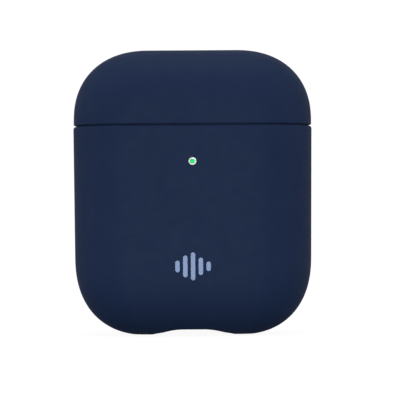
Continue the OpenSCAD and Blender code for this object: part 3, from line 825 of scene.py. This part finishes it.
def from_node(node, name):
    """a new mesh that starts as a copy of a CAD node, welded"""
    src = frame["nodes"][node]
    mesh = src.data.copy()
    obj = bpy.data.objects.new(name, mesh)
    bpy.context.scene.collection.objects.link(obj)
    bm = bmesh.new()
    bm.from_mesh(mesh)
    bmesh.ops.remove_doubles(bm, verts=bm.verts, dist=1e-6)
    bmesh.ops.recalc_face_normals(bm, faces=bm.faces)
    bm.to_mesh(mesh)
    bm.free()
    return obj


def settle(obj, shapes, near=0.035, far=0.08):
    """puts vertices that lie close to one of the true surfaces exactly on it, facing as it does; eased edges stay"""
    me = obj.data
    co = np.zeros(len(me.vertices) * 3)
    me.vertices.foreach_get("co", co)
    co = co.reshape(-1, 3) / MM
    facing = np.zeros(len(me.vertices) * 3)
    me.vertex_normals.foreach_get("vector", facing)
    facing = facing.reshape(-1, 3)
    best = np.full(len(co), 1e9)
    goal = co.copy()
    true = facing.copy()
    for kind, where, size in shapes:
        axes = {"sphere": [0, 1, 2], "x": [1, 2], "y": [0, 2], "z": [0, 1]}.get(kind)
        proj = co.copy()
        way = np.zeros_like(co)
        if kind == "plane":
            dist = np.abs(co[:, where] - size)
            proj[:, where] = size
            way[:, where] = 1
        else:
            v = co[:, axes] - np.array(where, float)
            d = np.maximum(np.linalg.norm(v, axis=1), 1e-9)
            dist = np.abs(d - size)
            proj[:, axes] = np.array(where, float) + v / d[:, None] * size
            way[:, axes] = v / d[:, None]
        side = (facing * way).sum(axis=1)
        along = np.abs(side)
        # a vertex that faces the way the surface does may come from further off, and one that
        # only crosses it stays where it is
        dist = np.where(along > 0.985, dist * 0.25, np.where(along > 0.90, dist, dist * 6 + 0.02))
        m = dist < best
        best[m] = dist[m]
        goal[m] = proj[m]
        true[m] = np.where(along > 0.97, np.sign(side), 0)[m, None] * way[m]
    w = np.clip((far - best) / (far - near), 0, 1)[:, None]
    co += (goal - co) * w
    me.vertices.foreach_set("co", (co * MM).ravel())
    me.update()
    me.polygons.foreach_set("use_smooth", [True] * len(me.polygons))
    me.vertex_normals.foreach_get("vector", (flat := np.zeros(len(me.vertices) * 3)))
    own = flat.reshape(-1, 3)
    sure = (w[:, 0] > 0.999) & (np.abs(true).sum(axis=1) > 0.5) & ((own * true).sum(axis=1) > 0.9)
    own[sure] = true[sure]
    me.normals_split_custom_set_from_vertices(own.tolist())


def softened(node, name, mat, body, shapes, voxel=0.15, passes=7):
    """a moulding with its edges eased: remeshed finely, relaxed, and its true surfaces restored"""
    o = from_node(node, name)
    r = o.modifiers.new("remesh", "REMESH")
    r.mode = "VOXEL"
    r.voxel_size = voxel * MM
    s = o.modifiers.new("ease", "SMOOTH")
    s.factor = 0.5
    s.iterations = passes
    apply_mods(o)
    settle(o, shapes)
    return finish_piece(o, name, mat, body, node)


CUPS = [("sphere", (9 * s, -0.9, HZ + 1.1), r) for s in (-1, 1) for r in (7.6, 8.3)]
WELL_SHAPES = CUPS + [("plane", 2, SEAM - 0.3), ("plane", 2, SEAM - 1.5), ("plane", 1, 2.5), ("plane", 1, -2.9),
                      ("x", (-0.2, 37.2), 2.7), ("x", (HY, HZ), 2.05)]
WELL_SHAPES += [("z", (16.2 * s, 0), r) for s in (-1, 1) for r in (3.15, 2.65, 4.05)]
LINER_SHAPES = CUPS + [("plane", 2, SEAM + 0.1), ("plane", 2, SEAM + 1.3), ("plane", 2, 45.2), ("plane", 1, 2.5),
                       ("plane", 1, -2.9), ("x", (HY, HZ), 2.05)]
LINER_SHAPES += [("z", (16.2 * s, 0), r) for s in (-1, 1) for r in (3.6, 4.2)]


# --------------------------------------------------------------------------
# Printed mark: five rounded bars, an audio level, laid on the cover's face
# --------------------------------------------------------------------------
def make_mark():
    cz, width, height = 13.75, 6.9, 5.4
    n = 5
    bw = 0.86
    gap = (width - n * bw) / (n - 1)
    share = [0.42, 0.78, 1.0, 0.62, 0.34]
    bars = []
    cols = 10
    for i in range(n):
        cx = -width / 2 + bw / 2 + i * (bw + gap)
        h = height * share[i]
        r = bw / 2
        # rows follow the round ends closely and the straight run evenly
        ends = [-h / 2 + r - r * math.cos(a) for a in np.linspace(0.12, math.pi / 2, 9)]
        run = list(np.linspace(-h / 2 + r, h / 2 - r, max(3, int((h - bw) / 0.3))))[1:-1]
        zs = ends + run + [-z for z in reversed(ends)]
        verts, faces = [], []
        grid = {}
        for side, lift in (("front", 0.030), ("back", -0.060)):
            for a, z in enumerate(zs):
                over = max(0.0, abs(z) - (h / 2 - r))
                half = math.sqrt(max(0.0, r * r - over * over))
                for c in range(cols + 1):
                    u = -1 + 2 * c / cols
                    u = math.copysign(abs(u) ** 0.75, u)
                    x = cx + half * u
                    edge = side == "front" and (c in (0, cols) or a in (0, len(zs) - 1))
                    y = -(surf_y(x, cz + z) + (lift - 0.010 if edge else lift))
                    grid[side, a, c] = len(verts)
                    verts.append((x * MM, y * MM, (cz + z) * MM))
        rows = len(zs)
        for a in range(rows - 1):
            for c in range(cols):
                faces.append(tuple(grid["front", *q] for q in ((a, c), (a, c + 1), (a + 1, c + 1), (a + 1, c))))
                faces.append(tuple(grid["back", *q] for q in ((a, c), (a + 1, c), (a + 1, c + 1), (a, c + 1))))
        rim = [(0, c) for c in range(cols)] + [(a, cols) for a in range(rows - 1)]
        rim += [(rows - 1, c) for c in range(cols, 0, -1)] + [(a, 0) for a in range(rows - 1, 0, -1)]
        for k, q in enumerate(rim):
            w = rim[(k + 1) % len(rim)]
            faces.append((grid["front", *q], grid["back", *q], grid["back", *w], grid["front", *w]))
        bars.append(new_object("bar", verts, faces))
    o = join(bars, "cover_mark")
    tidy(o, 40, 1e-7)
    return finish_piece(o, "cover_printed_mark", "mark_ink", "case", slot="cover_soft_navy")


# --------------------------------------------------------------------------
# Build
# --------------------------------------------------------------------------
make_cover_body()
make_cover_lid()
make_case_body()
make_case_lid()
make_mark()
softened("well_insert", "well_moulding", "insert_white", "case", WELL_SHAPES)
softened("lid_liner", "lid_inner_moulding", "insert_white", "lid", LINER_SHAPES)


def state_of(mesh):
    """(volume, number of edges that don't have two faces) of a mesh"""
    bm = bmesh.new()
    bm.from_mesh(mesh)
    v = abs(bm.calc_volume())
    bad = sum(1 for e in bm.edges if len(e.link_faces) != 2)
    bm.free()
    return v, bad


def refined(node, body, mat, width=0.06, angle=40, seg=3):
    """a CAD piece with its flat faces merged and its edges eased; plain if the easing fails"""
    src = frame["nodes"][node]
    v0, _ = state_of(from_node_mesh(src))
    for w in (width, width * 0.5, 0.0):
        mesh = from_node_mesh(src)
        bm = bmesh.new()
        bm.from_mesh(mesh)
        bmesh.ops.dissolve_limit(bm, angle_limit=math.radians(0.6), verts=bm.verts, edges=bm.edges,
                                 use_dissolve_boundaries=False)
        if w > 0:
            sharp = [e for e in bm.edges if len(e.link_faces) == 2 and e.calc_face_angle(0) > math.radians(angle)]
            bmesh.ops.bevel(bm, geom=sharp, offset=w * MM, segments=seg, affect="EDGES",
                            profile=0.5, clamp_overlap=True, miter_outer="ARC", harden_normals=False)
            bmesh.ops.remove_doubles(bm, verts=bm.verts, dist=1e-7)
            bmesh.ops.dissolve_degenerate(bm, dist=1e-8, edges=bm.edges)
        bmesh.ops.triangulate(bm, faces=[f for f in bm.faces if len(f.verts) > 4])
        bmesh.ops.recalc_face_normals(bm, faces=bm.faces)
        bm.to_mesh(mesh)
        bm.free()
        v1, bad = state_of(mesh)
        if bad == 0 and v0 > 0 and abs(v1 - v0) / v0 < 0.12:
            break
    print("refined", node, "edge", w, "volume", round(v1 / max(v0, 1e-18), 4), "open", bad)
    o = bpy.data.objects.new(node + "_piece", mesh)
    scene_link(o)
    flat_shading(o)
    return finish_piece(o, node + "_piece", mat, body, node)


def scene_link(o):
    bpy.context.scene.collection.objects.link(o)


def from_node_mesh(src):
    mesh = src.data.copy()
    bm = bmesh.new()
    bm.from_mesh(mesh)
    bmesh.ops.remove_doubles(bm, verts=bm.verts, dist=1e-6)
    bmesh.ops.recalc_face_normals(bm, faces=bm.faces)
    bm.to_mesh(mesh)
    bm.free()
    return mesh


def flat_shading(o, angle=34):
    """smooth shading that keeps the large faces flat"""
    me = o.data
    for name in ("custom_normal",):
        if name in me.attributes:
            me.attributes.remove(me.attributes[name])
    me.polygons.foreach_set("use_smooth", [True] * len(me.polygons))
    me.set_sharp_from_angle(angle=math.radians(angle))
    w = o.modifiers.new("even", "WEIGHTED_NORMAL")
    w.mode = "FACE_AREA"
    w.weight = 60
    w.keep_sharp = True
    return o


def hull_of(parts, op="UNION"):
    """first part, with the rest joined to it one by one"""
    o = parts[0]
    for q in parts[1:]:
        boolean(o, q, op)
    return o


def clean(o, name, mat, body, *nodes, angle=34):
    tidy(o, angle, 1e-7)
    flat_shading(o, angle)
    return finish_piece(o, name, mat, body, *nodes)


# ---- hinge ----
def make_hinge():
    parts = [box((-12, 8.5, HZ - 6.2), (12, 9.3, HZ - 1.9), edge=0.12)]
    for s in (-1, 1):
        u, v = sorted((6.0 * s, 12.0 * s))
        parts.append(box((u, 8.5, HZ - 2.4), (v, 9.3, HZ - 0.2), edge=0.05))
        parts.append(rod(1.7, u, v, "x", (0, HY, HZ), edge=0.14, seg=96))
    o = hull_of(parts)
    boolean(o, [rod(0.62, -20, 20, "x", (0, HY, HZ), seg=48)]
            + [rod(0.65, 8, 10, "y", (9 * s, 0, HZ - 4.8), seg=48) for s in (-1, 1)])
    clean(o, "hinge_body_leaf_piece", "hinge_metal", "case", "hinge_body_leaf")

    o = hull_of([
        box((-9.5, 8.4, HZ + 1.9), (9.5, 9.15, HZ + 4.4), edge=0.12),
        box((-5.6, 8.4, HZ + 0.2), (5.6, 9.15, HZ + 2.4), edge=0.05),
        rod(1.7, -5.9, 5.9, "x", (0, HY, HZ), edge=0.14, seg=96),
    ])
    boolean(o, [rod(0.62, -20, 20, "x", (0, HY, HZ), seg=48)]
            + [rod(0.65, 8, 10, "y", (7.5 * s, 0, HZ + 3.2), seg=48) for s in (-1, 1)])
    clean(o, "hinge_lid_leaf_piece", "hinge_metal", "lid", "hinge_lid_leaf")

    o = rod(0.6, -11.8, 11.8, "x", (0, HY, HZ), edge=0.12, seg=48, name="pin")
    clean(o, "hinge_pin_piece", "hinge_metal", "case", "hinge_pin")


# ---- setup button, light, contacts ----
def make_small():
    face = 12.25 - CO - 0.05
    prof = [(0, 8.95), (3.85, 8.95), (3.96, 8.99), (4.0, 9.08), (4.0, 9.27), (3.96, 9.35), (3.5, 9.35)]
    prof += [(3.5 - 0.22 * (1 - math.cos(b)), face - 0.22 + 0.22 * math.sin(b)) for b in np.radians(np.linspace(0, 90, 8))]
    prof += [(r, face - 0.10 * (1 - (r / 3.28) ** 2) * 1.0) for r in np.linspace(3.0, 0.0, 12)]
    o = revolve("button", prof, "y", (0, 0, BUTTON_Z), 96)
    clean(o, "setup_button_cap", "button_white", "button", "setup_button", angle=50)

    tip = -(B - CO) + 0.02
    prof = [(0, -6.6), (0.86, -6.6), (0.9, -6.64), (0.9, -9.26), (0.86, -9.3), (0.465, -9.3)]
    prof += [(0.465 * math.cos(b), tip + 0.10 - 0.10 * math.sin(b)) for b in np.radians(np.linspace(0, 88, 9))]
    prof += [(0, tip)]
    o = revolve("pipe", prof, "y", (0, 0, LED_Z), 64)
    clean(o, "led_light_lens", "led_green", "case", "led_light_pipe", angle=50)

    for side, s in (("left", -1), ("right", 1)):
        pins = []
        for d in (-1, 1):
            prof = [(0, 12.0), (0.70, 12.0), (0.75, 12.05), (0.75, 12.30), (0.70, 12.35), (0.5, 12.35), (0.5, 14.2)]
            prof += [(0.5 * math.cos(b), 14.2 + 0.5 * math.sin(b)) for b in np.radians(np.linspace(8, 88, 9))]
            prof += [(0, 14.7)]
            pins.append(revolve("pin", prof, "z", ((16.2 + 1.3 * d) * s, 0, 0), 48))
        o = join(pins, "pins")
        clean(o, side + "_contact_pins", "contact_gold", side + "_pins", side + "_contacts", angle=50)


# ---- charging socket ----
def make_port():
    o = stadium("shell", 8.94, 3.26, 1.55, 7.3, edge=0.10)
    boolean(o, stadium("cavity", 8.34, 2.66, 1.55, 7.0, flare=0.10))
    clean(o, "charge_port_sleeve", "port_steel", "case", "charge_port_shell")
    o = hull_of([stadium("base", 8.26, 2.58, 6.1, 6.95, edge=0.05),
                 box((-3.35, -0.35, 2.6), (3.35, 0.35, 6.4), edge=0.10)])
    clean(o, "charge_port_tongue_piece", "port_black", "case", "charge_port_tongue")
    pads = []
    for i in range(12):
        x = -2.75 + 0.5 * i
        for s in (-1, 1):
            y0, y1 = sorted((s * 0.30, s * 0.368))
            pads.append(box((x - 0.13, y0, 2.95), (x + 0.13, y1, 5.9), edge=0.015, seg=2))
    o = join(pads, "pads")
    clean(o, "charge_port_pads", "contact_gold", "case")


make_hinge()
make_small()
make_port()

SLOT_OF = {r["node"]: r["material_slot"] for r in frame["record"]["subparts"]}
BODY_OF = {}
for body, nodes in (("case", ()), ("lid", ("cover_lid_tape", "hinge_lid_screws", "lid_magnets", "lid_sensor_magnet"))):
    for node in nodes:
        BODY_OF[node] = body
EDGE = {"battery_cell": 0.25, "board_foam": 0.15, "inner_frame": 0.12, "main_board": 0.05, "board_shield": 0.06,
        "port_bracket": 0.08, "port_gasket": 0.12, "hinge_snap_spring": 0.05, "lid_magnets": 0.12,
        "body_magnets": 0.12, "earbud_magnets": 0.12, "lid_sensor_magnet": 0.1, "board_chips": 0.05,
        "hinge_body_screws": 0.05, "hinge_lid_screws": 0.05, "frame_screws": 0.05, "board_screws": 0.04,
        "port_screws": 0.05, "button_dome_switch": 0.12, "ferrite_sheet": 0.04, "status_led": 0.04,
        "hall_sensor": 0.05, "battery_tape": 0.04, "charging_coil": 0.03}
gone = {n for o in bpy.context.scene.objects for n in list(o.get("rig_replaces", []))}
for name in sorted(frame["nodes"]):
    if name in gone:
        continue
    if name in EDGE:
        refined(name, BODY_OF.get(name, "case"), SLOT_OF[name], EDGE[name])
    else:
        obj = frame["nodes"][name]
        obj.data.materials.clear()
        obj.data.materials.append(M[SLOT_OF[name]])

# --------------------------------------------------------------------------
# Stage, light and camera
# --------------------------------------------------------------------------
scene = bpy.context.scene
scene.view_settings.view_transform = "Standard"
scene.view_settings.look = "None"
scene.view_settings.exposure = 0
scene.view_settings.gamma = 1


def make_floor():
    """a pale sweep: flat floor that rises smoothly behind the object; seen from above only"""
    prof = [(-1.2, 0.0), (0.25, 0.0)]
    prof += [(0.25 + 0.25 * math.sin(a), 0.25 - 0.25 * math.cos(a)) for a in np.radians(np.linspace(6, 90, 14))]
    prof += [(0.5, 1.2)]
    verts, faces = [], []
    for x in (-1.5, 1.5):
        verts += [(x, y, z - 0.00001) for y, z in prof]
    n = len(prof)
    for i in range(n - 1):
        faces.append((i, n + i, n + i + 1, i + 1))
    mesh = bpy.data.meshes.new("studio_floor")
    mesh.from_pydata(verts, [], faces)
    o = bpy.data.objects.new("studio_floor", mesh)
    scene_link(o)
    for p in mesh.polygons:
        p.use_smooth = True
    m = bpy.data.materials.new("studio_floor")
    m.use_nodes = True
    t = m.node_tree
    t.nodes.clear()
    out = t.nodes.new("ShaderNodeOutputMaterial")
    geo = t.nodes.new("ShaderNodeNewGeometry")
    glow = t.nodes.new("ShaderNodeEmission")
    glow.inputs["Color"].default_value = (1, 1, 1, 1)
    glow.inputs["Strength"].default_value = 0.93
    paint = t.nodes.new("ShaderNodeBsdfDiffuse")
    paint.inputs["Color"].default_value = (0.13, 0.13, 0.13, 1)
    add = t.nodes.new("ShaderNodeAddShader")
    clear = t.nodes.new("ShaderNodeBsdfTransparent")
    mix = t.nodes.new("ShaderNodeMixShader")
    t.links.new(glow.outputs[0], add.inputs[0])
    t.links.new(paint.outputs[0], add.inputs[1])
    path = t.nodes.new("ShaderNodeLightPath")
    dim = t.nodes.new("ShaderNodeMapRange")
    dim.inputs["To Min"].default_value = 0.93
    dim.inputs["To Max"].default_value = 0.26
    t.links.new(path.outputs["Is Glossy Ray"], dim.inputs["Value"])
    # painted shadow: what a glossy ray finds close under the object is darkened by distance from its footprint,
    # standing in for its contact shade
    span = t.nodes.new("ShaderNodeVectorMath")
    span.operation = "MULTIPLY"
    span.inputs[1].default_value = (1 / (A * MM), 1 / (B * MM), 0)
    t.links.new(geo.outputs["Position"], span.inputs[0])
    reach = t.nodes.new("ShaderNodeVectorMath")
    reach.operation = "LENGTH"
    t.links.new(span.outputs["Vector"], reach.inputs[0])
    shade = t.nodes.new("ShaderNodeMapRange")
    shade.inputs["From Min"].default_value = 0.8
    shade.inputs["From Max"].default_value = 2.4
    shade.inputs["To Min"].default_value = 0.02
    shade.inputs["To Max"].default_value = 0.26
    t.links.new(reach.outputs["Value"], shade.inputs["Value"])
    t.links.new(shade.outputs["Result"], dim.inputs["To Max"])
    t.links.new(dim.outputs["Result"], glow.inputs["Strength"])
    t.links.new(geo.outputs["Backfacing"], mix.inputs[0])
    t.links.new(add.outputs[0], mix.inputs[1])
    t.links.new(clear.outputs[0], mix.inputs[2])
    t.links.new(mix.outputs[0], out.inputs["Surface"])
    mesh.materials.append(m)
    o.visible_diffuse = False
    o.visible_transmission = False
    o.visible_shadow = False
    return o


make_floor()

world = bpy.data.worlds.new("studio")
scene.world = world
world.use_nodes = True
wt = world.node_tree
wt.nodes.clear()
wo = wt.nodes.new("ShaderNodeOutputWorld")
bg_seen = wt.nodes.new("ShaderNodeBackground")
bg_seen.inputs["Color"].default_value = (1, 1, 1, 1)
bg_seen.inputs["Strength"].default_value = 1.0
bg_light = wt.nodes.new("ShaderNodeBackground")
wlp = wt.nodes.new("ShaderNodeLightPath")
wmix = wt.nodes.new("ShaderNodeMixShader")
tc = wt.nodes.new("ShaderNodeTexCoord")
sx = wt.nodes.new("ShaderNodeSeparateXYZ")
wt.links.new(tc.outputs["Generated"], sx.inputs[0])
wr = wt.nodes.new("ShaderNodeMapRange")
wr.interpolation_type = "LINEAR"
wr.inputs["From Min"].default_value = -0.85
wr.inputs["From Max"].default_value = 0.8
wr.inputs["To Min"].default_value = 0.06
wr.inputs["To Max"].default_value = 0.52
wt.links.new(sx.outputs["Z"], wr.inputs["Value"])
wt.links.new(wr.outputs[0], bg_light.inputs["Strength"])
wt.links.new(wlp.outputs["Is Camera Ray"], wmix.inputs[0])
wt.links.new(bg_light.outputs[0], wmix.inputs[1])
wt.links.new(bg_seen.outputs[0], wmix.inputs[2])
wt.links.new(wmix.outputs[0], wo.inputs["Surface"])


def area(name, loc, target, size, power, color=(1, 1, 1), parent=None):
    light = bpy.data.lights.new(name, "AREA")
    light.shape = "RECTANGLE"
    light.size, light.size_y = size
    light.energy = power
    light.color = color
    o = bpy.data.objects.new(name, light)
    scene_link(o)
    o.location = loc
    o.rotation_euler = (Vector(target) - Vector(loc)).to_track_quat("-Z", "Y").to_euler()
    o.visible_camera = False
    if parent is not None:
        o.parent = parent
    return o


# camera square to the front, a long lens, with the faint roll of the original view
DIST = 420.0
cam_data = bpy.data.cameras.new("camera")
cam_data.sensor_width = 36.0
cam_data.lens = 5.008 * DIST * 36.0 / 400.0
cam_data.clip_start = 0.01
cam_data.clip_end = 10
cam = bpy.data.objects.new("camera", cam_data)
scene.collection.objects.link(cam)
cam.location = (1.42 * MM, -DIST * MM, 26.61 * MM)
cam.rotation_euler = (Matrix.Rotation(math.radians(90), 4, "X") @ Matrix.Rotation(math.radians(-0.35), 4, "Z")).to_euler()
scene.camera = cam

area("top_soft", (0.0, -0.06, 0.72), (0, 0, 0.03), (0.6, 0.5), 1.85)
area("left_soft", (-0.75, -0.12, 0.16), (0, 0, 0.03), (0.5, 0.6), 1.35)
area("right_soft", (0.75, -0.12, 0.16), (0, 0, 0.03), (0.5, 0.6), 1.35)
area("back_soft", (0.10, 0.80, 0.35), (0, 0, 0.03), (0.6, 0.5), 1.4)
# the key light stays beside the camera, so that every view is lit from its own side
area("key_soft", (-0.03, -0.03, 0.02), (0, 0, -DIST * MM), (0.20, 0.16), 1.02, parent=cam)
